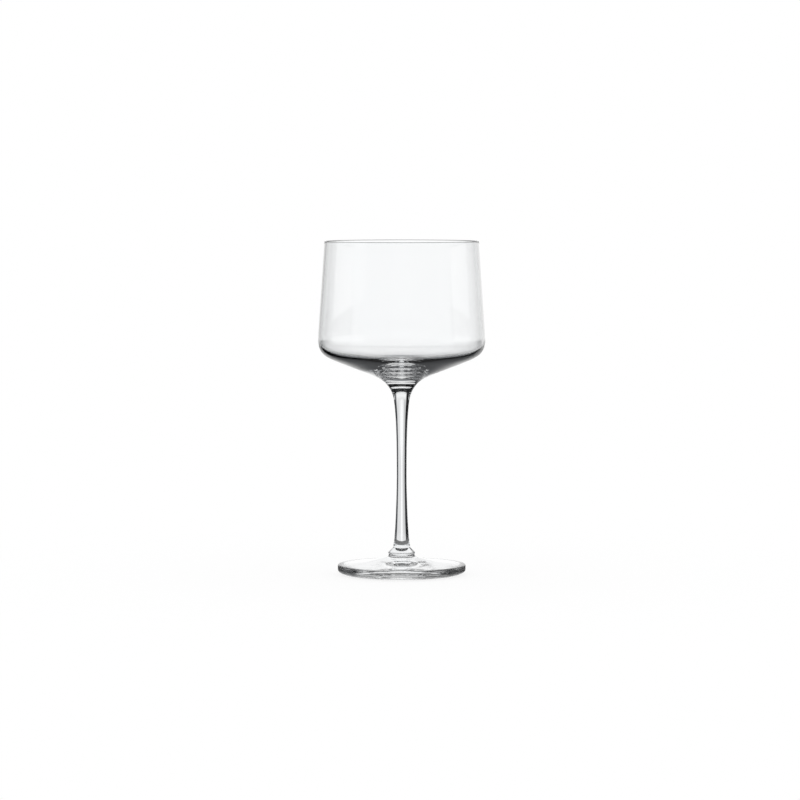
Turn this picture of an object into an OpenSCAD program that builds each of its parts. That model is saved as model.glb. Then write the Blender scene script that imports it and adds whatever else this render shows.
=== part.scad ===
// Stemmed cocktail glass: a wide bowl that narrows a little to the rim, with a low cone
// under it, on a drawn stem, a collar bead and a round foot. The four gathers of glass
// are fused end to end. Lengths are in millimetres and angles in degrees.
// The glass stands on z = 0 and every piece is turned about the Z axis.

/* [Bowl] */
// Outer diameter at the rim
rim_d = 75.5; // [66:0.5:80]
// Widest outer diameter, at the shoulder
bowl_d = 81.7; // [80:0.1:92]
// Height of the bowl from its seam with the stem up to the rim
bowl_h = 68.8; // [55:0.1:90]
// Height of the widest point above the seam
shoulder_h = 21.6; // [20:0.1:26]
// Diameter at which the cone ends and the shoulder starts to turn up
cone_d = 58.7; // [52:0.1:64]
// Rise of the cone under the bowl, above the horizontal
cone_tilt = 21.3; // [18:0.1:23]
// Wall thickness at the rim and down the side
side_wall = 0.9; // [0.7:0.1:1.6]
// Upright thickness of the glass where the cone ends
cone_wall = 1.9; // [1.4:0.1:3]
// Thickness of the glass above the seam, at the middle of the bowl
base_wall = 3.4; // [3:0.1:6]
// Diameter of the rounded well at the bottom of the bowl
well_d = 20; // [8:0.5:24]
// Depth of the rounded well
well_h = 1.1; // [0.4:0.1:2]

/* [Stem] */
// Height of the stem from the collar to its seam with the bowl
stem_h = 81.3; // [60:0.1:110]
// Diameter at the waist
waist_d = 4.8; // [4:0.02:6]
// Height of the waist above the collar
waist_h = 35; // [26:0.1:45]
// Diameter where the stem meets the collar
stem_base_d = 8.7; // [7:0.1:9]
// Diameter at the lower end of the flare under the bowl
flare_d = 7.7; // [7:0.1:9]
// Diameter of the seam between the stem and the bowl
seam_d = 17.2; // [15:0.1:18.5]
// Radius of the hollow fillet that runs from the stem into the cone of the bowl
flare_r = 14.3; // [13:0.1:17]

/* [Collar] */
// Diameter of the collar bead
collar_d = 13.2; // [13:0.1:16]
// Height of the collar, from the foot to the stem
collar_h = 3.5; // [3:0.1:6]
// Height of the bead's widest line above the bottom of the collar
bead_h = 1; // [0.8:0.1:1.5]
// Radius of the bead's rounded edge
bead_r = 0.6; // [0.4:0.05:0.8]

/* [Foot] */
// Diameter of the foot
foot_d = 62.6; // [60:0.1:80]
// Thickness of the foot at its edge
foot_edge_h = 4.8; // [3.4:0.1:5.4]
// Height of the foot at its middle, where the collar stands
foot_h = 9.5; // [9:0.1:12]
// Diameter of the neck of the foot, under the collar
neck_d = 12.7; // [11:0.1:12.9]
// Diameter where the neck has spread into the cone of the foot
spread_d = 16.2; // [14.5:0.1:22]
// Height of the foot where the neck has spread
spread_h = 8.2; // [7:0.1:8.6]
// Radius of the upper corner of the foot's edge
foot_edge_r = 0.5; // [0.3:0.05:0.8]
// Width of the oval rounding under the edge of the foot
foot_under_w = 4.6; // [2:0.1:5.2]
// Height of the oval rounding under the edge of the foot
foot_under_h = 2.5; // [1.2:0.1:2.8]
// Diameter of the hollow under the foot
hollow_d = 50; // [40:0.5:52.5]
// Depth of the hollow under the foot at its middle
hollow_h = 1.6; // [0.5:0.1:2.5]

/* [Hidden] */
$fn = 96;

// Steps in each curved stretch of an outline
curve_steps = 14;

// The bowl: how far the outline holds the cone's tilt, and stands upright, as the shoulder turns
shoulder_run = 9.3;
shoulder_rise = 7.8;
// Height over which the side turns from upright to its lean
side_turn_h = 4;
// Share of the well's radius over which its bottom is level
well_level_share = 0.4;

// The stem: tilt of its outline at the lower end of the flare
flare_tilt = 82;
// How far the outline holds that tilt below the flare, and stands upright over and under the waist
flare_run = 8.2;
waist_rise = 19.4;
waist_drop = 5.9;
// Where the outline is drawn to above the collar: its height, and its radius beyond the waist's
base_rise = 3.4;
base_spread = 0.62;

// The collar: how far its cone hollows towards the stem
collar_dip = 0.4;
// Directions at which the bead's round begins and ends
bead_from = -60;
bead_to = 45;

// The foot: tilt of its top at the edge, and where the neck has spread
edge_tilt = 2;
spread_tilt = 16;
// How far the top holds each of those tilts
edge_run = 12;
spread_run = 6;
// How far the neck stands upright, and how far it reaches in from the spread
neck_drop = 0.5;
neck_reach = 0.9;
// Shares of the hollow's radius where it stops being level, and where it lies flat again
hollow_level_share = 0.5;
hollow_flat_share = 0.67;

// Heights above the table
collar_z = foot_h;
stem_z = collar_z + collar_h;
seam_z = stem_z + stem_h;
wide_z = seam_z + shoulder_h;
rim_z = seam_z + bowl_h;

// The hollow fillet is an arc about a centre outside the stem
flare_x = flare_d / 2 + flare_r * sin(flare_tilt);
seam_tilt = asin((flare_x - seam_d / 2) / flare_r);
flare_z = seam_z - flare_r * cos(seam_tilt);

// Outside of the bowl: the cone's two ends, the widest point and the foot of the leaning side
cone_start = flare_point(cone_tilt);
cone_end = [cone_d / 2, cone_start.y + (cone_d / 2 - cone_start.x) * tan(cone_tilt)];
wide = [bowl_d / 2, wide_z];
turn = wide + [0, side_turn_h / 2];
side_lean = (bowl_d - rim_d) / 2 / (rim_z - turn.y);
side_start = turn + side_turn_h / 2 * [-side_lean, 1];

// Inside of the bowl: the side is parallel to the outside, and the cone thickens to the well
inner_cone_end = cone_end + [-side_wall / 2, cone_wall];
well_edge = [well_d / 2, seam_z + base_wall + well_h];
inner_run = inner_cone_end - well_edge;
inner_tilt = atan2(inner_run.y, inner_run.x);

// A point of the fillet where the outline has a given tilt
function flare_point(tilt) = [flare_x - flare_r * sin(tilt), flare_z + flare_r * cos(tilt)];

// A point at a distance from a start, at a tilt above the horizontal
function onward(start, run, tilt) = start + run * [cos(tilt), sin(tilt)];

// A cubic curve from a to d, drawn to b and c, without its first point
function curve(a, b, c, d) = [
    for (i = [1:curve_steps])
        let (t = i / curve_steps, u = 1 - t)
        u * u * u * a + 3 * u * u * t * b + 3 * u * t * t * c + t * t * t * d
];

// An oval arc about a centre from one direction to another, with both ends
function oval(centre, width, height, from, to) = [
    for (i = [0:curve_steps])
        let (angle = from + (to - from) * i / curve_steps)
        centre + [width * cos(angle), height * sin(angle)]
];

// The same with one radius
function arc(centre, radius, from, to) = oval(centre, radius, radius, from, to);

// The fillet from one tilt to another, with both ends
function flare(from, to) = [
    for (i = [0:curve_steps])
        flare_point(from + (to - from) * i / curve_steps)
];

// Turns an outline of [radius, height] points about the Z axis
module turned(outline) {
    color("gainsboro", 0.35)
        rotate_extrude()
            polygon(outline);
}

module bowl() {
    inward = [-side_wall, 0];
    rim_r = side_wall / 2;
    inner_wide = wide + inward;
    well_bottom = [0, seam_z + base_wall];
    outside = concat(
        [[0, seam_z]],
        flare(seam_tilt, cone_tilt),
        [cone_end],
        curve(
            cone_end,
            onward(cone_end, shoulder_run, cone_tilt),
            wide - [0, shoulder_rise],
            wide
        ),
        curve(wide, turn, turn, side_start)
    );
    rim = arc([rim_d / 2 - rim_r, rim_z - rim_r], rim_r, 0, 180);
    inside = concat(
        [side_start + inward],
        curve(side_start + inward, turn + inward, turn + inward, inner_wide),
        curve(
            inner_wide,
            inner_wide - [0, shoulder_rise - side_wall],
            onward(inner_cone_end, shoulder_run - side_wall, inner_tilt),
            inner_cone_end
        ),
        [well_edge],
        curve(
            well_edge,
            onward(well_edge, -well_h, inner_tilt),
            well_bottom + [well_d / 2 * well_level_share, 0],
            well_bottom
        )
    );
    turned(concat(outside, rim, inside));
}

module stem() {
    waist = [waist_d / 2, stem_z + waist_h];
    base = [stem_base_d / 2, stem_z];
    flare_start = flare_point(flare_tilt);
    turned(concat(
        [[0, stem_z], base],
        curve(
            base,
            [waist.x + base_spread, stem_z + base_rise],
            waist - [0, waist_drop],
            waist
        ),
        curve(
            waist,
            waist + [0, waist_rise],
            onward(flare_start, -flare_run, flare_tilt),
            flare_start
        ),
        flare(flare_tilt, seam_tilt),
        [[0, seam_z]]
    ));
}

module collar() {
    bead = [collar_d / 2 - bead_r, collar_z + bead_h];
    bead_end = onward(bead, bead_r, bead_to);
    top = [stem_base_d / 2, stem_z];
    turned(concat(
        [[0, collar_z], [neck_d / 2, collar_z]],
        arc(bead, bead_r, bead_from, bead_to),
        curve(
            bead_end,
            bead_end + collar_dip * [-1, 1],
            top + collar_dip * [1, -1],
            top
        ),
        [[0, stem_z]]
    ));
}

module foot() {
    hollow_top = [0, hollow_h];
    hollow_edge = [hollow_d / 2, 0];
    under = [foot_d / 2 - foot_under_w, foot_under_h];
    edge = [foot_d / 2 - foot_edge_r, foot_edge_h - foot_edge_r];
    edge_top = edge + [0, foot_edge_r];
    spread = [spread_d / 2, spread_h];
    neck = [neck_d / 2, foot_h];
    turned(concat(
        [hollow_top],
        curve(
            hollow_top,
            hollow_top + hollow_level_share * hollow_edge,
            hollow_flat_share * hollow_edge,
            hollow_edge
        ),
        oval(under, foot_under_w, foot_under_h, -90, 0),
        arc(edge, foot_edge_r, 0, 90),
        curve(
            edge_top,
            onward(edge_top, -edge_run, -edge_tilt),
            onward(spread, spread_run, -spread_tilt),
            spread
        ),
        curve(
            spread,
            onward(spread, -neck_reach, -spread_tilt),
            neck - [0, neck_drop],
            neck
        ),
        [[0, foot_h]]
    ));
}

bowl();
stem();
collar();
foot();
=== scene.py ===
import math

import bpy
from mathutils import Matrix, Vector


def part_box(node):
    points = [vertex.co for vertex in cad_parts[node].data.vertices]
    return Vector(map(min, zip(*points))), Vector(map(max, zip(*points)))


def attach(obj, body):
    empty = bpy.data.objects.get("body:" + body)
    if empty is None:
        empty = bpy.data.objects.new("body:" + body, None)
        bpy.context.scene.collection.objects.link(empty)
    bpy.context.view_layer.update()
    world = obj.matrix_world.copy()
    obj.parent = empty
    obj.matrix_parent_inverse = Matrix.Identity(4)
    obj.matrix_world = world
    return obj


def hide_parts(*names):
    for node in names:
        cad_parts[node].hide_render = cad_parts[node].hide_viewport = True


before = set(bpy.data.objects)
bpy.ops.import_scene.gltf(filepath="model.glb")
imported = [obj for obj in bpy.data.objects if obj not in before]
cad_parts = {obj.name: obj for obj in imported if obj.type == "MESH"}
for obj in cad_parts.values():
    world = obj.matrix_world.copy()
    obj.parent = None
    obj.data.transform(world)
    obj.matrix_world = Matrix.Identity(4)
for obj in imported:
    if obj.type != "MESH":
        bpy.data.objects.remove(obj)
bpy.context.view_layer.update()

scene = bpy.context.scene
mm = 0.001
ml = 0.000001

# Heights in millimetres at which one gather of glass is fused to the next, as the CAD has them
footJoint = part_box("foot")[1].z / mm
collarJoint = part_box("collar")[1].z / mm
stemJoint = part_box("stem")[1].z / mm
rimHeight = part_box("bowl")[1].z / mm
noJoint = -10.0  # a height that no face has
joints = [round(height, 2) for height in (footJoint, collarJoint, stemJoint)]
print("frame read: joints at", joints, "rim at", round(rimHeight, 2))


# Outlines are lists of (radius, height) in millimetres, drawn up the outside and down the inside
def point(radius, height):
    return Vector((radius, height))


def reach(length, tilt):
    return length * Vector((math.cos(math.radians(tilt)), math.sin(math.radians(tilt))))


def bend(a, b, c, d, steps):  # a cubic from a to d that is drawn to b and c, without its first point
    points = []
    for i in range(1, steps + 1):
        t = i / steps
        u = 1 - t
        points.append(u * u * u * a + 3 * u * u * t * b + 3 * u * t * t * c + t * t * t * d)
    return points


def roundOff(centre, width, height, start, end, steps):  # an oval arc with both its ends
    angles = [math.radians(start + (end - start) * i / steps) for i in range(steps + 1)]
    return [centre + Vector((width * math.cos(a), height * math.sin(a))) for a in angles]


def straight(a, b, steps):  # a straight stretch without its first point
    return [a.lerp(b, i / steps) for i in range(1, steps + 1)]


def addNode(tree, kind, place, **settings):
    node = tree.nodes.new(kind)
    node.location = place
    for key, value in settings.items():
        setattr(node, key, value)
    return node


def mathsNode(tree, operation, a, b, place):
    node = addNode(tree, "ShaderNodeMath", place, operation=operation)
    for socket, value in zip(node.inputs, (a, b)):
        if isinstance(value, (int, float)):
            socket.default_value = value
        elif value is not None:
            tree.links.new(value, socket)
    return node.outputs[0]


# Turning: one Geometry Nodes tree sweeps an outline round the Z axis and closes it at both poles
turningForm = {
    "stepsAround": 256,
    "weldDistance": 2e-6,
    "creaseAngle": 35.0,
    "jointReach": 4e-6,
}


def makeLathe():
    tree = bpy.data.node_groups.new("Turned glass", "GeometryNodeTree")
    tree.is_modifier = True
    face = tree.interface
    face.new_socket("Geometry", in_out="INPUT", socket_type="NodeSocketGeometry")
    for name, kind, value in (
        ("Steps Around", "NodeSocketInt", turningForm["stepsAround"]),
        ("Weld Distance", "NodeSocketFloat", turningForm["weldDistance"]),
        ("Crease Angle", "NodeSocketFloat", math.radians(turningForm["creaseAngle"])),
        ("Lower Joint Height", "NodeSocketFloat", 0.0),
        ("Upper Joint Height", "NodeSocketFloat", 0.0),
        ("Glass", "NodeSocketMaterial", None),
        ("Fused Joint", "NodeSocketMaterial", None),
    ):
        socket = face.new_socket(name, in_out="INPUT", socket_type=kind)
        if value is not None:
            socket.default_value = value
    face.new_socket("Geometry", in_out="OUTPUT", socket_type="NodeSocketGeometry")

    def link(a, b):
        tree.links.new(a, b)

    def maths(operation, a, b, place):
        return mathsNode(tree, operation, a, b, place)

    given = addNode(tree, "NodeGroupInput", (-1400, 0))
    counted = addNode(tree, "GeometryNodeAttributeDomainSize", (-1200, 300), component="MESH")
    link(given.outputs["Geometry"], counted.inputs["Geometry"])
    columns = maths("ADD", given.outputs["Steps Around"], 1, (-1200, 100))
    sheet = addNode(tree, "GeometryNodeMeshGrid", (-1000, 200))
    sheet.inputs["Size X"].default_value = 1
    sheet.inputs["Size Y"].default_value = 1
    link(columns, sheet.inputs["Vertices X"])
    link(counted.outputs["Point Count"], sheet.inputs["Vertices Y"])

    # Across the sheet is the way round, and up the sheet is the way along the outline
    here = addNode(tree, "GeometryNodeInputPosition", (-1200, -100))
    parts = addNode(tree, "ShaderNodeSeparateXYZ", (-1000, -100))
    link(here.outputs[0], parts.inputs[0])
    turn = maths("MULTIPLY", maths("ADD", parts.outputs["X"], 0.5, (-800, 0)), 2 * math.pi, (-600, 0))
    last = maths("SUBTRACT", counted.outputs["Point Count"], 1, (-800, -200))
    along = maths("MULTIPLY", maths("ADD", parts.outputs["Y"], 0.5, (-800, -350)), last, (-600, -250))
    index = maths("ROUND", along, None, (-400, -250))
    outlinePoint = addNode(tree, "GeometryNodeInputPosition", (-600, -450))
    picked = addNode(tree, "GeometryNodeSampleIndex", (-200, -250), data_type="FLOAT_VECTOR", domain="POINT")
    link(given.outputs["Geometry"], picked.inputs["Geometry"])
    link(outlinePoint.outputs[0], picked.inputs["Value"])
    link(index, picked.inputs["Index"])
    drawn = addNode(tree, "ShaderNodeSeparateXYZ", (0, -250))
    link(picked.outputs["Value"], drawn.inputs[0])
    placed = addNode(tree, "ShaderNodeCombineXYZ", (400, -100))
    for row, (operation, axis) in enumerate((("COSINE", "X"), ("SINE", "Y"))):
        share = maths(operation, turn, None, (0, -100 * row))
        link(maths("MULTIPLY", drawn.outputs["X"], share, (200, -150 * row)), placed.inputs[axis])
    link(drawn.outputs["Z"], placed.inputs["Z"])
    swept = addNode(tree, "GeometryNodeSetPosition", (600, 200))
    link(sheet.outputs["Mesh"], swept.inputs["Geometry"])
    link(placed.outputs[0], swept.inputs["Position"])
    closed = addNode(tree, "GeometryNodeMergeByDistance", (800, 200))
    link(swept.outputs[0], closed.inputs["Geometry"])
    link(given.outputs["Weld Distance"], closed.inputs["Distance"])

    # Smooth all over, but crisp where a flat joint meets the side
    smooth = addNode(tree, "GeometryNodeSetShadeSmooth", (1000, 200), domain="FACE")
    link(closed.outputs[0], smooth.inputs["Geometry"])
    corner = addNode(tree, "GeometryNodeInputMeshEdgeAngle", (800, -50))
    crisp = addNode(tree, "FunctionNodeCompare", (1000, -50), data_type="FLOAT", operation="GREATER_THAN")
    link(corner.outputs["Unsigned Angle"], crisp.inputs["A"])
    link(given.outputs["Crease Angle"], crisp.inputs["B"])
    creased = addNode(tree, "GeometryNodeSetShadeSmooth", (1200, 200), domain="EDGE")
    creased.inputs["Shade Smooth"].default_value = False
    link(smooth.outputs[0], creased.inputs["Geometry"])
    link(crisp.outputs["Result"], creased.inputs["Selection"])

    glassy = addNode(tree, "GeometryNodeSetMaterial", (1400, 200))
    link(creased.outputs[0], glassy.inputs["Geometry"])
    link(given.outputs["Glass"], glassy.inputs["Material"])
    level = addNode(tree, "ShaderNodeSeparateXYZ", (1000, -300))
    link(here.outputs[0], level.inputs[0])
    flow = glassy
    for i, name in enumerate(("Lower Joint Height", "Upper Joint Height")):
        place = (1300 + 200 * i, -200)
        atJoint = addNode(tree, "FunctionNodeCompare", place, data_type="FLOAT", operation="EQUAL")
        atJoint.inputs["Epsilon"].default_value = turningForm["jointReach"]
        link(level.outputs["Z"], atJoint.inputs["A"])
        link(given.outputs[name], atJoint.inputs["B"])
        fused = addNode(tree, "GeometryNodeSetMaterial", (1600 + 200 * i, 200))
        link(flow.outputs[0], fused.inputs["Geometry"])
        link(atJoint.outputs["Result"], fused.inputs["Selection"])
        link(given.outputs["Fused Joint"], fused.inputs["Material"])
        flow = fused
    real = addNode(tree, "GeometryNodeRealizeInstances", (2000, 200))
    link(flow.outputs[0], real.inputs["Geometry"])
    result = addNode(tree, "NodeGroupOutput", (2200, 200))
    link(real.outputs[0], result.inputs["Geometry"])
    return tree


lathe = makeLathe()
print("lathe tree built:", len(lathe.nodes), "nodes")


def turnPiece(name, node, outline, glass, lowerJoint, upperJoint):
    chain = bpy.data.meshes.new(name + " outline")
    chain.from_pydata(
        [(p.x * mm, 0, p.y * mm) for p in outline],
        [(i, i + 1) for i in range(len(outline) - 1)],
        [],
    )
    blank = bpy.data.objects.new(name + " outline", chain)
    scene.collection.objects.link(blank)
    turning = blank.modifiers.new("Turning", "NODES")
    turning.node_group = lathe
    wanted = {
        "Steps Around": turningForm["stepsAround"],
        "Lower Joint Height": lowerJoint * mm,
        "Upper Joint Height": upperJoint * mm,
        "Glass": glass,
        "Fused Joint": fusedJoint,
    }
    for item in lathe.interface.items_tree:
        if item.item_type == "SOCKET" and item.in_out == "INPUT" and item.name in wanted:
            turning[item.identifier] = wanted[item.name]
    seen = blank.evaluated_get(bpy.context.evaluated_depsgraph_get())
    mesh = bpy.data.meshes.new_from_object(seen)
    bpy.data.objects.remove(blank)
    bpy.data.meshes.remove(chain)
    mesh.name = name
    mesh.validate()
    volume = 0.0
    mesh.calc_loop_triangles()
    for triangle in mesh.loop_triangles:
        a, b, c = (mesh.vertices[i].co for i in triangle.vertices)
        volume += a.dot(b.cross(c)) / 6
    if volume < 0:
        mesh.flip_normals()
    piece = bpy.data.objects.new(name, mesh)
    scene.collection.objects.link(piece)
    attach(piece, "root")
    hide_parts(node)
    print(name, "turned:", len(mesh.polygons), "faces,", round(abs(volume) / ml, 2), "ml of glass")


# Finish: clear hot-worked glass. Each piece has its own faint tint, polish and turning marks.
# Sizes and heights in metres. The rings are seen between the two heights and fade out beyond them
glassIndex = 1.52
bowlLook = {
    "clear": (0.987, 0.992, 0.994, 1.0),
    "deep": (0.980, 0.987, 0.991, 1.0),
    "patchSize": 0.03,
    "polish": (0.004, 0.02),
    "ringSize": 0.0015,
    "waver": 0.9,
    "ringsFrom": 0.09,
    "ringsTo": 0.1,
    "ringsFade": 0.012,
    "ringDepth": 0.000004,
    "seed": 3.0,
}
stemLook = {
    "clear": (0.98, 0.988, 0.992, 1.0),
    "deep": (0.955, 0.969, 0.978, 1.0),
    "patchSize": 0.012,
    "polish": (0.004, 0.03),
    "ringSize": 0.003,
    "waver": 1.4,
    "ringsFrom": 0.01,
    "ringsTo": 0.1,
    "ringsFade": 0.003,
    "ringDepth": 0.000006,
    "seed": 11.0,
}
collarLook = {
    "clear": (0.98, 0.988, 0.992, 1.0),
    "deep": (0.955, 0.969, 0.978, 1.0),
    "patchSize": 0.006,
    "polish": (0.004, 0.03),
    "ringSize": 0.0012,
    "waver": 1.6,
    "ringsFrom": 0.005,
    "ringsTo": 0.02,
    "ringsFade": 0.003,
    "ringDepth": 0.00002,
    "seed": 19.0,
}
footLook = {
    "clear": (0.98, 0.988, 0.992, 1.0),
    "deep": (0.955, 0.969, 0.978, 1.0),
    "patchSize": 0.014,
    "polish": (0.004, 0.03),
    "ringSize": 0.0014,
    "waver": 1.8,
    "ringsFrom": -0.01,
    "ringsTo": 0.02,
    "ringsFade": 0.003,
    "ringDepth": 0.00002,
    "seed": 27.0,
}


def fadeNode(tree, value, start, end, place):  # 0 at the start and 1 at the end
    node = addNode(tree, "ShaderNodeMapRange", place)
    for socket, bound in (("From Min", start), ("From Max", end)):
        if isinstance(bound, (int, float)):
            node.inputs[socket].default_value = bound
        else:
            tree.links.new(bound, node.inputs[socket])
    tree.links.new(value, node.inputs["Value"])
    return node.outputs["Result"]


def startGroup(name, inputs, outputs):
    tree = bpy.data.node_groups.new(name, "ShaderNodeTree")
    for label, kind, value in inputs:
        socket = tree.interface.new_socket(label, in_out="INPUT", socket_type=kind)
        socket.default_value = value
    for label, kind in outputs:
        tree.interface.new_socket(label, in_out="OUTPUT", socket_type=kind)
    given = addNode(tree, "NodeGroupInput", (-1600, 0))
    result = addNode(tree, "NodeGroupOutput", (1200, 0))
    return tree, given, result


patchForm = {"detail": 3.0, "from": 0.35, "to": 0.65}
ringForm = {"scale": 1.0, "detail": 1.0, "middle": 0.5}


def makeCoolTint():  # soft patches, a little deeper in colour and less bright in polish
    tree, given, result = startGroup(
        "Cool tint",
        (
            ("Clear Color", "NodeSocketColor", (1.0, 1.0, 1.0, 1.0)),
            ("Deep Color", "NodeSocketColor", (0.96, 0.97, 0.98, 1.0)),
            ("Patch Size", "NodeSocketFloat", 0.02),
            ("Finest Roughness", "NodeSocketFloat", 0.0),
            ("Coarsest Roughness", "NodeSocketFloat", 0.02),
            ("Seed", "NodeSocketFloat", 0.0),
        ),
        (("Color", "NodeSocketColor"), ("Roughness", "NodeSocketFloat")),
    )
    where = addNode(tree, "ShaderNodeTexCoord", (-1600, 300))
    moved = addNode(tree, "ShaderNodeVectorMath", (-1200, 200), operation="ADD")
    tree.links.new(where.outputs["Object"], moved.inputs[0])
    tree.links.new(given.outputs["Seed"], moved.inputs[1])
    patches = addNode(tree, "ShaderNodeTexNoise", (-900, 200))
    patches.inputs["Detail"].default_value = patchForm["detail"]
    tree.links.new(moved.outputs[0], patches.inputs["Vector"])
    scale = mathsNode(tree, "DIVIDE", 1.0, given.outputs["Patch Size"], (-1200, 0))
    tree.links.new(scale, patches.inputs["Scale"])
    share = fadeNode(tree, patches.outputs[0], patchForm["from"], patchForm["to"], (-600, 200))
    tint = addNode(tree, "ShaderNodeMix", (-300, 200), data_type="RGBA")
    tree.links.new(share, tint.inputs[0])
    tree.links.new(given.outputs["Clear Color"], tint.inputs[6])
    tree.links.new(given.outputs["Deep Color"], tint.inputs[7])
    tree.links.new(tint.outputs[2], result.inputs["Color"])
    polish = addNode(tree, "ShaderNodeMapRange", (-300, -100))
    tree.links.new(patches.outputs[0], polish.inputs["Value"])
    tree.links.new(given.outputs["Finest Roughness"], polish.inputs["To Min"])
    tree.links.new(given.outputs["Coarsest Roughness"], polish.inputs["To Max"])
    tree.links.new(polish.outputs["Result"], result.inputs["Roughness"])
    return tree


def makeTurningMarks():  # faint broken rings round the axis, as turning and drawing leave them
    tree, given, result = startGroup(
        "Turning marks",
        (
            ("Ring Size", "NodeSocketFloat", 0.002),
            ("Waver", "NodeSocketFloat", 1.0),
            ("Rings From", "NodeSocketFloat", 0.0),
            ("Rings To", "NodeSocketFloat", 1.0),
            ("Rings Fade", "NodeSocketFloat", 0.01),
            ("Seed", "NodeSocketFloat", 0.0),
        ),
        (("Height", "NodeSocketFloat"),),
    )
    where = addNode(tree, "ShaderNodeTexCoord", (-1600, 300))
    parts = addNode(tree, "ShaderNodeSeparateXYZ", (-1400, 100))
    tree.links.new(where.outputs["Object"], parts.inputs[0])
    flat = addNode(tree, "ShaderNodeVectorMath", (-1400, 300), operation="MULTIPLY")
    flat.inputs[1].default_value = (1.0, 1.0, 0.0)
    tree.links.new(where.outputs["Object"], flat.inputs[0])
    outward = addNode(tree, "ShaderNodeVectorMath", (-1200, 400), operation="LENGTH")
    tree.links.new(flat.outputs[0], outward.inputs[0])
    way = addNode(tree, "ShaderNodeVectorMath", (-1200, 250), operation="NORMALIZE")
    tree.links.new(flat.outputs[0], way.inputs[0])
    along = mathsNode(tree, "ADD", outward.outputs["Value"], parts.outputs["Z"], (-1000, 400))
    ring = mathsNode(tree, "DIVIDE", along, given.outputs["Ring Size"], (-800, 400))
    around = addNode(tree, "ShaderNodeVectorMath", (-1000, 200), operation="SCALE")
    tree.links.new(way.outputs[0], around.inputs[0])
    tree.links.new(given.outputs["Waver"], around.inputs["Scale"])
    wound = addNode(tree, "ShaderNodeSeparateXYZ", (-800, 200))
    tree.links.new(around.outputs[0], wound.inputs[0])
    spot = addNode(tree, "ShaderNodeCombineXYZ", (-400, 300))
    shifted = mathsNode(tree, "ADD", wound.outputs["X"], given.outputs["Seed"], (-600, 250))
    tree.links.new(shifted, spot.inputs["X"])
    tree.links.new(wound.outputs["Y"], spot.inputs["Y"])
    tree.links.new(ring, spot.inputs["Z"])
    marks = addNode(tree, "ShaderNodeTexNoise", (-200, 300))
    marks.inputs["Scale"].default_value = ringForm["scale"]
    marks.inputs["Detail"].default_value = ringForm["detail"]
    tree.links.new(spot.outputs[0], marks.inputs["Vector"])
    first, last, fade = (given.outputs[name] for name in ("Rings From", "Rings To", "Rings Fade"))
    startFade = mathsNode(tree, "SUBTRACT", first, fade, (-800, -100))
    endFade = mathsNode(tree, "ADD", last, fade, (-800, -300))
    rising = fadeNode(tree, parts.outputs["Z"], startFade, first, (-400, -100))
    falling = fadeNode(tree, parts.outputs["Z"], endFade, last, (-400, -300))
    seen = mathsNode(tree, "MULTIPLY", rising, falling, (0, -200))
    level = mathsNode(tree, "SUBTRACT", marks.outputs[0], ringForm["middle"], (0, 300))
    tree.links.new(mathsNode(tree, "MULTIPLY", level, seen, (300, 100)), result.inputs["Height"])
    return tree


coolTint = makeCoolTint()
turningMarks = makeTurningMarks()


def placeGroup(tree, group, values, place):
    node = addNode(tree, "ShaderNodeGroup", place, node_tree=group)
    for name, value in values.items():
        node.inputs[name].default_value = value
    return node


def makeGlass(name, look):
    glass = bpy.data.materials.new(name)
    glass.use_nodes = True
    tree = glass.node_tree
    shader = tree.nodes["Principled BSDF"]
    tint = placeGroup(
        tree,
        coolTint,
        {
            "Clear Color": look["clear"],
            "Deep Color": look["deep"],
            "Patch Size": look["patchSize"],
            "Finest Roughness": look["polish"][0],
            "Coarsest Roughness": look["polish"][1],
            "Seed": look["seed"],
        },
        (-700, 300),
    )
    marks = placeGroup(
        tree,
        turningMarks,
        {
            "Ring Size": look["ringSize"],
            "Waver": look["waver"],
            "Rings From": look["ringsFrom"],
            "Rings To": look["ringsTo"],
            "Rings Fade": look["ringsFade"],
            "Seed": look["seed"],
        },
        (-700, -100),
    )
    relief = addNode(tree, "ShaderNodeBump", (-400, -100))
    relief.inputs["Strength"].default_value = 1.0
    relief.inputs["Distance"].default_value = look["ringDepth"]
    tree.links.new(marks.outputs["Height"], relief.inputs["Height"])
    tree.links.new(relief.outputs["Normal"], shader.inputs["Normal"])
    tree.links.new(tint.outputs["Color"], shader.inputs["Base Color"])
    tree.links.new(tint.outputs["Roughness"], shader.inputs["Roughness"])
    shader.inputs["IOR"].default_value = glassIndex
    shader.inputs["Metallic"].default_value = 0.0
    shader.inputs["Transmission Weight"].default_value = 1.0
    return glass


def makeFusedJoint():  # glass fused to glass shows no surface
    joint = bpy.data.materials.new("Fused joint")
    joint.use_nodes = True
    shader = joint.node_tree.nodes["Principled BSDF"]
    shader.inputs["Base Color"].default_value = bowlLook["clear"]
    shader.inputs["Alpha"].default_value = 0.0
    return joint


fusedJoint = makeFusedJoint()
blownGlass = makeGlass("Blown glass", bowlLook)
drawnGlass = makeGlass("Drawn glass", stemLook)
beadGlass = makeGlass("Bead of glass", collarLook)
pressedGlass = makeGlass("Pressed glass", footLook)
print("glass finish ready")

# The hollow fillet under the bowl is one arc, cut where the stem is fused to the bowl
flareForm = {"lowerWidth": 7.7, "seamWidth": 17.2, "radius": 14.3, "lowerTilt": 82.0}
flareX = flareForm["lowerWidth"] / 2 + flareForm["radius"] * math.sin(math.radians(flareForm["lowerTilt"]))
seamTilt = math.degrees(math.asin((flareX - flareForm["seamWidth"] / 2) / flareForm["radius"]))
flareZ = stemJoint - flareForm["radius"] * math.cos(math.radians(seamTilt))


def flarePoint(tilt):
    a = math.radians(tilt)
    return point(flareX - flareForm["radius"] * math.sin(a), flareZ + flareForm["radius"] * math.cos(a))


def flareStretch(start, end):  # a step for each degree, with both ends
    steps = max(2, round(abs(end - start)))
    return [flarePoint(start + (end - start) * i / steps) for i in range(steps + 1)]


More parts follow.
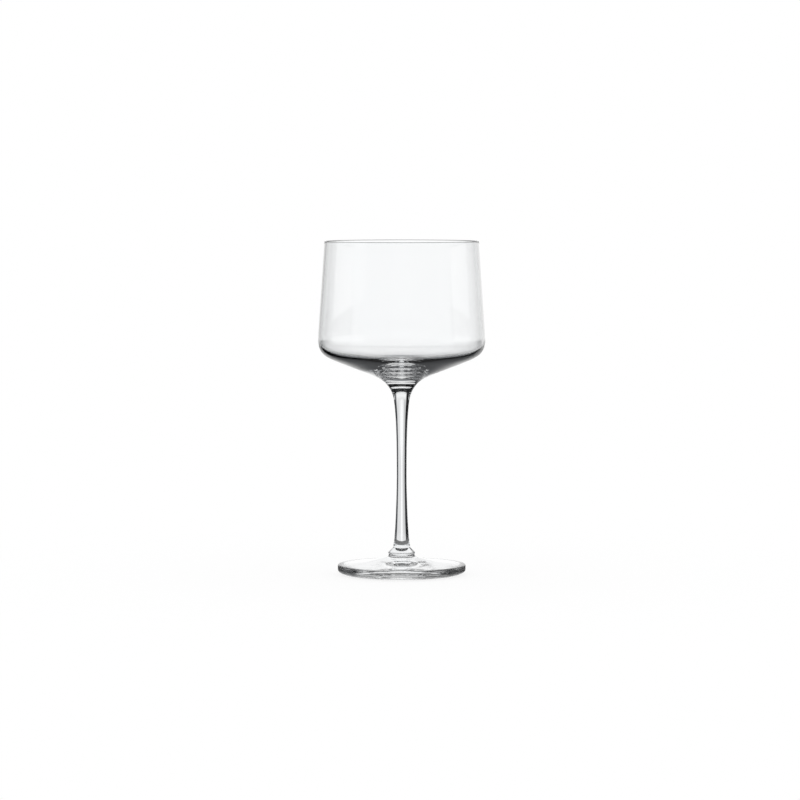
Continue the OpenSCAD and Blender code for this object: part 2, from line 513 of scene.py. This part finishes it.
bowlForm = {
    "rimWidth": 75.5,
    "widestWidth": 81.7,
    "shoulderHeight": 21.6,
    "coneWidth": 58.7,
    "coneTilt": 21.3,
    "sideWall": 0.9,
    "coneWall": 1.9,
    "baseWall": 3.4,
    "wellWidth": 20.0,
    "wellDepth": 1.1,
    "wellLevelShare": 0.4,
    "shoulderRun": 9.3,
    "shoulderRise": 7.8,
    "sideTurn": 4.0,
    "coneSteps": 24,
    "shoulderSteps": 60,
    "turnSteps": 10,
    "sideSteps": 40,
    "rimSteps": 20,
    "wellSteps": 36,
}


def bowlOutline():
    form = bowlForm
    wall = form["sideWall"]
    inward = point(-wall, 0)
    coneStart = flarePoint(form["coneTilt"])
    coneRadius = form["coneWidth"] / 2
    coneRise = (coneRadius - coneStart.x) * math.tan(math.radians(form["coneTilt"]))
    coneEnd = point(coneRadius, coneStart.y + coneRise)
    wide = point(form["widestWidth"] / 2, stemJoint + form["shoulderHeight"])
    turn = wide + point(0, form["sideTurn"] / 2)
    lean = (form["widestWidth"] - form["rimWidth"]) / 2 / (rimHeight - turn.y)
    sideStart = turn + form["sideTurn"] / 2 * point(-lean, 1)
    innerConeEnd = coneEnd + point(-wall / 2, form["coneWall"])
    wellEdge = point(form["wellWidth"] / 2, stemJoint + form["baseWall"] + form["wellDepth"])
    wellBottom = point(0, stemJoint + form["baseWall"])
    run = innerConeEnd - wellEdge
    innerTilt = math.degrees(math.atan2(run.y, run.x))
    rimCentre = point(form["rimWidth"] / 2 - wall / 2, rimHeight - wall / 2)
    rimOuter = rimCentre + point(wall / 2, 0)
    rimInner = rimCentre - point(wall / 2, 0)
    outline = [point(0, stemJoint)]
    outline += flareStretch(seamTilt, form["coneTilt"])
    outline += straight(flarePoint(form["coneTilt"]), coneEnd, form["coneSteps"])
    outline += bend(
        coneEnd,
        coneEnd + reach(form["shoulderRun"], form["coneTilt"]),
        wide - point(0, form["shoulderRise"]),
        wide,
        form["shoulderSteps"],
    )
    outline += bend(wide, turn, turn, sideStart, form["turnSteps"])
    outline += straight(sideStart, rimOuter, form["sideSteps"])
    outline += roundOff(rimCentre, wall / 2, wall / 2, 0, 180, form["rimSteps"])[1:]
    outline += straight(rimInner, sideStart + inward, form["sideSteps"])
    outline += bend(sideStart + inward, turn + inward, turn + inward, wide + inward, form["turnSteps"])
    outline += bend(
        wide + inward,
        wide + inward - point(0, form["shoulderRise"] - wall),
        innerConeEnd + reach(form["shoulderRun"] - wall, innerTilt),
        innerConeEnd,
        form["shoulderSteps"],
    )
    outline += straight(innerConeEnd, wellEdge, form["coneSteps"])
    outline += bend(
        wellEdge,
        wellEdge - reach(form["wellDepth"], innerTilt),
        wellBottom + point(form["wellWidth"] / 2 * form["wellLevelShare"], 0),
        wellBottom,
        form["wellSteps"],
    )
    return outline


turnPiece("bowl_glass", "bowl", bowlOutline(), blownGlass, stemJoint, noJoint)

stemForm = {
    "waistWidth": 4.8,
    "waistHeight": 35.0,
    "baseWidth": 8.7,
    "flareRun": 8.2,
    "waistRise": 19.4,
    "waistDrop": 5.9,
    "baseRise": 3.4,
    "baseSpread": 0.62,
    "curveSteps": 60,
}


def stemOutline():
    form = stemForm
    waist = point(form["waistWidth"] / 2, collarJoint + form["waistHeight"])
    base = point(form["baseWidth"] / 2, collarJoint)
    flareStart = flarePoint(flareForm["lowerTilt"])
    outline = [point(0, collarJoint), base]
    outline += bend(
        base,
        point(waist.x + form["baseSpread"], collarJoint + form["baseRise"]),
        waist - point(0, form["waistDrop"]),
        waist,
        form["curveSteps"],
    )
    outline += bend(
        waist,
        waist + point(0, form["waistRise"]),
        flareStart - reach(form["flareRun"], flareForm["lowerTilt"]),
        flareStart,
        form["curveSteps"],
    )
    outline += flareStretch(flareForm["lowerTilt"], seamTilt)[1:]
    outline += [point(0, stemJoint)]
    return outline


turnPiece("stem_glass", "stem", stemOutline(), drawnGlass, collarJoint, stemJoint)

collarForm = {
    "width": 13.2,
    "beadHeight": 1.0,
    "beadRadius": 0.6,
    "dip": 0.4,
    "beadFrom": -60.0,
    "beadTo": 45.0,
    "curveSteps": 30,
}
footForm = {
    "width": 62.6,
    "edgeHeight": 4.8,
    "neckWidth": 12.7,
    "spreadWidth": 16.2,
    "spreadHeight": 8.2,
    "edgeRadius": 0.5,
    "underWidth": 4.6,
    "underHeight": 2.5,
    "hollowWidth": 50.0,
    "hollowDepth": 1.6,
    "edgeTilt": 2.0,
    "spreadTilt": 16.0,
    "edgeRun": 12.0,
    "spreadRun": 6.0,
    "neckDrop": 0.5,
    "neckReach": 0.9,
    "hollowLevelShare": 0.5,
    "hollowFlatShare": 0.67,
    "hollowSteps": 40,
    "underSteps": 48,
    "edgeSteps": 24,
    "topSteps": 60,
    "neckSteps": 30,
}


def collarOutline():
    form = collarForm
    bead = point(form["width"] / 2 - form["beadRadius"], footJoint + form["beadHeight"])
    beadEnd = bead + reach(form["beadRadius"], form["beadTo"])
    top = point(stemForm["baseWidth"] / 2, collarJoint)
    dip = form["dip"]
    outline = [point(0, footJoint), point(footForm["neckWidth"] / 2, footJoint)]
    outline += roundOff(
        bead,
        form["beadRadius"],
        form["beadRadius"],
        form["beadFrom"],
        form["beadTo"],
        form["curveSteps"],
    )
    outline += bend(beadEnd, beadEnd + point(-dip, dip), top + point(dip, -dip), top, form["curveSteps"])
    outline += [point(0, collarJoint)]
    return outline


def footOutline():
    form = footForm
    hollowTop = point(0, form["hollowDepth"])
    hollowEdge = point(form["hollowWidth"] / 2, 0)
    under = point(form["width"] / 2 - form["underWidth"], form["underHeight"])
    edge = point(form["width"] / 2 - form["edgeRadius"], form["edgeHeight"] - form["edgeRadius"])
    edgeTop = edge + point(0, form["edgeRadius"])
    spread = point(form["spreadWidth"] / 2, form["spreadHeight"])
    neck = point(form["neckWidth"] / 2, footJoint)
    outline = [hollowTop]
    outline += bend(
        hollowTop,
        hollowTop + form["hollowLevelShare"] * hollowEdge,
        form["hollowFlatShare"] * hollowEdge,
        hollowEdge,
        form["hollowSteps"],
    )
    outline += roundOff(under, form["underWidth"], form["underHeight"], -90, 0, form["underSteps"])
    outline += roundOff(edge, form["edgeRadius"], form["edgeRadius"], 0, 90, form["edgeSteps"])
    outline += bend(
        edgeTop,
        edgeTop - reach(form["edgeRun"], -form["edgeTilt"]),
        spread + reach(form["spreadRun"], -form["spreadTilt"]),
        spread,
        form["topSteps"],
    )
    outline += bend(
        spread,
        spread - reach(form["neckReach"], -form["spreadTilt"]),
        neck - point(0, form["neckDrop"]),
        neck,
        form["neckSteps"],
    )
    outline += [point(0, footJoint)]
    return outline


turnPiece("collar_glass", "collar", collarOutline(), beadGlass, footJoint, collarJoint)
turnPiece("foot_glass", "foot", footOutline(), pressedGlass, noJoint, footJoint)

# Stage: a pale table, and a wide painted screen round the camera that only the glass sees.
# Sizes in metres from the middle of the foot, and a light of 1 is white
stageForm = {
    "tableRadius": 1.5,
    "tableCorners": 64,
    "tableDrop": 0.0003,
    "whiteFrom": 0.12,
    "whiteTo": 0.42,
    "shadowShare": 0.15,
    # the table's painted glow and painted shade as the glass sees it, from under the foot outwards
    "underLight": 1.0,
    "frontLight": 0.01,
    "backLight": 0.22,
    "backFrom": -0.015,
    "backTo": 0.03,
    "besideFrom": 0.0295,
    "besideTo": 0.0345,
    "outerLight": 0.15,
    "outerFrom": 0.048,
    "outerTo": 0.055,
    "tableSeenTo": 0.072,
    "screenDistance": 40.0,
    "screenAround": 48,
    "screenUpward": 24,
    "coolShade": (0.88, 0.93, 1.0, 1.0),
    "coolTo": 0.6,
    "roomLight": 0.015,
    "worldLight": 1.0,
}

# Painted cards, the later ones over the earlier ones. Each side is a pair of angles in degrees
# over which the card fades in or out; right of the line of sight and up from level are positive.
cards = (
    {
        "name": "black flag",
        "left": (-110, -90), "right": (-26, -21),
        "bottom": (-30, -14), "top": (35, 50),
        "light": 0.01,
    },
    {
        "name": "dark flag",
        "left": (27, 36), "right": (90, 110),
        "bottom": (-30, -14), "top": (35, 50),
        "light": 0.06,
    },
    {
        "name": "front fill left",
        "left": (-200, -190), "right": (-104, -98),
        "bottom": (-24, -16), "top": (9, 12),
        "light": 0.45,
    },
    {
        "name": "front fill right",
        "left": (98, 104), "right": (190, 200),
        "bottom": (-24, -16), "top": (9, 12),
        "light": 0.5,
    },
    {
        "name": "dim paper",
        "left": (-26, -20), "right": (24, 36),
        "bottom": (-60, -40), "top": (42, 52),
        "light": 0.3,
    },
    {
        "name": "high paper",
        "left": (-26, -20), "right": (24, 36),
        "bottom": (-24, -12), "top": (42, 48),
        "light": 1.0,
    },
    {
        "name": "paper",
        "left": (-26, -20), "right": (24, 36),
        "bottom": (-30, -12), "top": (3, 16),
        "light": 0.8,
    },
    {
        "name": "left of the paper",
        "left": (-26, -20), "right": (-14, -8),
        "bottom": (-14, -8), "top": (3, 10),
        "light": 0.6,
    },
    {
        "name": "lit paper",
        "left": (-13, -10), "right": (11, 14),
        "bottom": (-4.2, -3.2), "top": (1, 8),
        "light": 1.0,
    },
    {
        "name": "middle of the paper",
        "left": (-6, -3.5), "right": (3.5, 6),
        "bottom": (-17, -10), "top": (2, 9),
        "light": 1.08,
    },
    {
        "name": "hot spot",
        "left": (-6, -3.5), "right": (3.5, 6),
        "bottom": (-4.2, -3.2), "top": (-0.5, 2),
        "light": 1.065,
    },
)

# Curved grey cards close beside the bowl, above the stem: sizes in metres, angles as above
sideCardForm = {"distance": 0.12, "bottom": 0.1085, "top": 0.168, "steps": 24}
sideCards = (
    {"name": "card_left", "from": -115, "to": -46, "light": 0.5},
    {"name": "card_right", "from": 44, "to": 115, "light": 0.75},
)


def glassRays(tree, place):  # 1 for what is seen in the glass or through it
    path = addNode(tree, "ShaderNodeLightPath", place)
    glossy, passing = path.outputs["Is Glossy Ray"], path.outputs["Is Transmission Ray"]
    return path, mathsNode(tree, "MAXIMUM", glossy, passing, (place[0] + 200, place[1]))


def makeWorld():
    world = bpy.data.worlds.new("Studio")
    scene.world = world
    world.use_nodes = True
    tree = world.node_tree
    tree.nodes.clear()
    path, shiny = glassRays(tree, (-600, 200))
    flow = None
    for name, light, where in (
        ("plain", stageForm["worldLight"], None),
        ("room", stageForm["roomLight"], shiny),
        ("white", 1.0, path.outputs["Is Camera Ray"]),
    ):
        lit = addNode(tree, "ShaderNodeBackground", (-300, 0))
        lit.label = name
        lit.inputs["Color"].default_value = (1, 1, 1, 1)
        lit.inputs["Strength"].default_value = light
        if flow is None:
            flow = lit.outputs[0]
            continue
        mixed = addNode(tree, "ShaderNodeMixShader", (0, 0))
        tree.links.new(where, mixed.inputs[0])
        tree.links.new(flow, mixed.inputs[1])
        tree.links.new(lit.outputs[0], mixed.inputs[2])
        flow = mixed.outputs[0]
    out = addNode(tree, "ShaderNodeOutputWorld", (400, 0))
    tree.links.new(flow, out.inputs["Surface"])


def makeTable():
    radius = stageForm["tableRadius"]
    count = stageForm["tableCorners"]
    turns = [2 * math.pi * i / count for i in range(count)]
    corners = [(radius * math.cos(a), radius * math.sin(a), -stageForm["tableDrop"]) for a in turns]
    mesh = bpy.data.meshes.new("table")
    mesh.from_pydata(corners, [], [list(range(count))])
    table = bpy.data.objects.new("table", mesh)
    scene.collection.objects.link(table)
    pale = bpy.data.materials.new("Pale table")
    pale.use_nodes = True
    tree = pale.node_tree
    tree.nodes.clear()
    where = addNode(tree, "ShaderNodeTexCoord", (-1100, 0))
    distance = addNode(tree, "ShaderNodeVectorMath", (-900, 0), operation="LENGTH")
    tree.links.new(where.outputs["Object"], distance.inputs[0])
    away = distance.outputs["Value"]
    path, shiny = glassRays(tree, (-1100, 400))

    # In the camera's eye the table is white with a faint shadow
    white = 1 - stageForm["shadowShare"]
    share = mathsNode(tree, "MULTIPLY", path.outputs["Is Camera Ray"], white, (-700, 400))
    matt = addNode(tree, "ShaderNodeBsdfDiffuse", (-500, 250))
    matt.inputs["Color"].default_value = (1, 1, 1, 1)
    glow = addNode(tree, "ShaderNodeEmission", (-500, 100))
    top = addNode(tree, "ShaderNodeMixShader", (-250, 250))
    tree.links.new(share, top.inputs[0])
    tree.links.new(matt.outputs[0], top.inputs[1])
    tree.links.new(glow.outputs[0], top.inputs[2])

    # Through the glass it shows painted light: a painted glow under the foot, painted shade beside it,
    # more in front than behind, and then it gives way to the screen
    under, front = stageForm["underLight"], stageForm["frontLight"]
    beside = fadeNode(tree, away, stageForm["besideFrom"], stageForm["besideTo"], (-900, -50))
    parts = addNode(tree, "ShaderNodeSeparateXYZ", (-1100, -200))
    tree.links.new(where.outputs["Object"], parts.inputs[0])
    back = fadeNode(tree, parts.outputs["Y"], stageForm["backFrom"], stageForm["backTo"], (-900, -200))
    step = mathsNode(tree, "MULTIPLY", back, stageForm["backLight"] - front, (-700, -200))
    dimmed = mathsNode(tree, "SUBTRACT", under - front, step, (-500, -200))
    lost = mathsNode(tree, "MULTIPLY", beside, dimmed, (-300, -100))
    level = mathsNode(tree, "SUBTRACT", under, lost, (-200, -50))
    outer = fadeNode(tree, away, stageForm["outerFrom"], stageForm["outerTo"], (-900, -600))
    inner = mathsNode(tree, "SUBTRACT", 1.0, outer, (-700, -600))
    kept = mathsNode(tree, "MULTIPLY", level, inner, (-500, -600))
    added = mathsNode(tree, "MULTIPLY", outer, stageForm["outerLight"], (-500, -750))
    level = mathsNode(tree, "ADD", kept, added, (-300, -600))
    near = addNode(tree, "ShaderNodeEmission", (-100, -50))
    tree.links.new(level, near.inputs["Strength"])
    side = addNode(tree, "ShaderNodeMixShader", (100, 200))
    tree.links.new(shiny, side.inputs[0])
    tree.links.new(top.outputs[0], side.inputs[1])
    tree.links.new(near.outputs[0], side.inputs[2])

    beyond = mathsNode(tree, "GREATER_THAN", away, stageForm["tableSeenTo"], (-500, -250))
    hidden = mathsNode(tree, "MULTIPLY", shiny, beyond, (-300, -250))
    fade = fadeNode(tree, away, stageForm["whiteFrom"], stageForm["whiteTo"], (-500, -450))
    cut = mathsNode(tree, "MAXIMUM", hidden, fade, (-100, -250))
    gone = addNode(tree, "ShaderNodeBsdfTransparent", (100, 0))
    both = addNode(tree, "ShaderNodeMixShader", (300, 100))
    tree.links.new(cut, both.inputs[0])
    tree.links.new(side.outputs[0], both.inputs[1])
    tree.links.new(gone.outputs[0], both.inputs[2])
    out = addNode(tree, "ShaderNodeOutputMaterial", (500, 100))
    tree.links.new(both.outputs[0], out.inputs["Surface"])
    mesh.materials.append(pale)


def makeScreen(camera):  # a ball round the camera, so that it turns with each view
    distance = stageForm["screenDistance"]
    around, upward = stageForm["screenAround"], stageForm["screenUpward"]
    corners = []
    for j in range(upward + 1):
        up = math.radians(-90 + 180 * j / upward)
        width, height = distance * math.cos(up), distance * math.sin(up)
        for i in range(around):
            a = 2 * math.pi * i / around
            corners.append((width * math.sin(a), height, -width * math.cos(a)))
    faces = []
    for j in range(upward):
        for i in range(around):
            k = (i + 1) % around
            faces.append((j * around + i, j * around + k, (j + 1) * around + k, (j + 1) * around + i))
    mesh = bpy.data.meshes.new("screen")
    mesh.from_pydata(corners, [], faces)
    screen = bpy.data.objects.new("screen", mesh)
    scene.collection.objects.link(screen)
    screen.parent = camera
    screen.rotation_euler.x = math.pi / 2 - camera.rotation_euler.x
    paint = bpy.data.materials.new("Painted screen")
    paint.use_nodes = True
    tree = paint.node_tree
    tree.nodes.clear()
    where = addNode(tree, "ShaderNodeTexCoord", (-1500, 0))
    parts = addNode(tree, "ShaderNodeSeparateXYZ", (-1300, 0))
    tree.links.new(where.outputs["Object"], parts.inputs[0])
    ahead = mathsNode(tree, "MULTIPLY", parts.outputs["Z"], -1.0, (-1100, -100))
    bearing = mathsNode(tree, "ARCTAN2", parts.outputs["X"], ahead, (-900, 100))
    squareX = mathsNode(tree, "MULTIPLY", parts.outputs["X"], parts.outputs["X"], (-1100, -300))
    squareZ = mathsNode(tree, "MULTIPLY", parts.outputs["Z"], parts.outputs["Z"], (-1100, -450))
    square = mathsNode(tree, "ADD", squareX, squareZ, (-900, -300))
    level = mathsNode(tree, "SQRT", square, None, (-700, -300))
    rise = mathsNode(tree, "ARCTAN2", parts.outputs["Y"], level, (-500, -200))
    light = stageForm["roomLight"]
    for row, card in enumerate(cards):
        low = -300 * row
        share = None
        edges = (
            (bearing, card["left"]),
            (bearing, card["right"][::-1]),
            (rise, card["bottom"]),
            (rise, card["top"][::-1]),
        )
        for angle, (start, end) in edges:
            faded = fadeNode(tree, angle, math.radians(start), math.radians(end), (-200, low))
            share = faded if share is None else mathsNode(tree, "MULTIPLY", share, faded, (0, low))
        painted = addNode(tree, "ShaderNodeMix", (300, low), data_type="FLOAT")
        painted.label = card["name"]
        tree.links.new(share, painted.inputs[0])
        if isinstance(light, float):
            painted.inputs[2].default_value = light
        else:
            tree.links.new(light, painted.inputs[2])
        painted.inputs[3].default_value = card["light"]
        light = painted.outputs[0]
    glow = addNode(tree, "ShaderNodeEmission", (800, 0))
    tree.links.new(light, glow.inputs["Strength"])

    # The dark parts are a little cooler than the lit paper
    shade = addNode(tree, "ShaderNodeMix", (600, -200), data_type="RGBA")
    tree.links.new(fadeNode(tree, light, 0.0, stageForm["coolTo"], (450, -200)), shade.inputs[0])
    shade.inputs[6].default_value = stageForm["coolShade"]
    shade.inputs[7].default_value = (1, 1, 1, 1)
    tree.links.new(shade.outputs[2], glow.inputs["Color"])
    out = addNode(tree, "ShaderNodeOutputMaterial", (1000, 0))
    tree.links.new(glow.outputs[0], out.inputs["Surface"])
    mesh.materials.append(paint)
    screen.visible_camera = screen.visible_diffuse = screen.visible_shadow = False


def makeSideCard(card, camera):  # beside the glass in the main view, and carried along by the camera
    distance = sideCardForm["distance"]
    steps = sideCardForm["steps"]
    spots = []
    for i in range(steps + 1):
        a = math.radians(card["from"] + (card["to"] - card["from"]) * i / steps)
        for height in (sideCardForm["bottom"], sideCardForm["top"]):
            spots.append(Vector((distance * math.sin(a), distance * math.cos(a), height)))
    toCamera = camera.matrix_basis.inverted()
    faces = [(2 * i, 2 * i + 2, 2 * i + 3, 2 * i + 1) for i in range(steps)]
    mesh = bpy.data.meshes.new(card["name"])
    mesh.from_pydata([toCamera @ spot for spot in spots], [], faces)
    piece = bpy.data.objects.new(card["name"], mesh)
    scene.collection.objects.link(piece)
    piece.parent = camera
    paint = bpy.data.materials.new(card["name"])
    paint.use_nodes = True
    paint.node_tree.nodes.clear()
    glow = addNode(paint.node_tree, "ShaderNodeEmission", (0, 0))
    glow.inputs["Strength"].default_value = card["light"]
    out = addNode(paint.node_tree, "ShaderNodeOutputMaterial", (200, 0))
    paint.node_tree.links.new(glow.outputs[0], out.inputs["Surface"])
    mesh.materials.append(paint)
    piece.visible_camera = piece.visible_diffuse = piece.visible_shadow = False


# Metres, but for the lens and its sensor in millimetres
view = {
    "x": -0.00083,
    "distance": 1.75,
    "height": 0.19504,
    "aimHeight": 0.08541,
    "lens": 161.39,
    "sensorWidth": 36,
    "seenTo": 200,
}


def makeCamera():
    data = bpy.data.cameras.new("Camera")
    data.lens = view["lens"]
    data.sensor_width = view["sensorWidth"]
    data.clip_end = view["seenTo"]
    camera = bpy.data.objects.new("Camera", data)
    scene.collection.objects.link(camera)
    eye = Vector((view["x"], -view["distance"], view["height"]))
    camera.location = eye
    aim = Vector((view["x"], 0, view["aimHeight"])) - eye
    camera.rotation_euler = aim.to_track_quat("-Z", "Y").to_euler()
    scene.camera = camera
    return camera


makeWorld()
makeTable()
camera = makeCamera()
makeScreen(camera)
for card in sideCards:
    makeSideCard(card, camera)
scene.view_settings.view_transform = "Standard"
for name, count in (
    ("max_bounces", 24),
    ("transmission_bounces", 24),
    ("glossy_bounces", 16),
    ("transparent_max_bounces", 24),
):
    setattr(scene.cycles, name, count)
print("stage set")
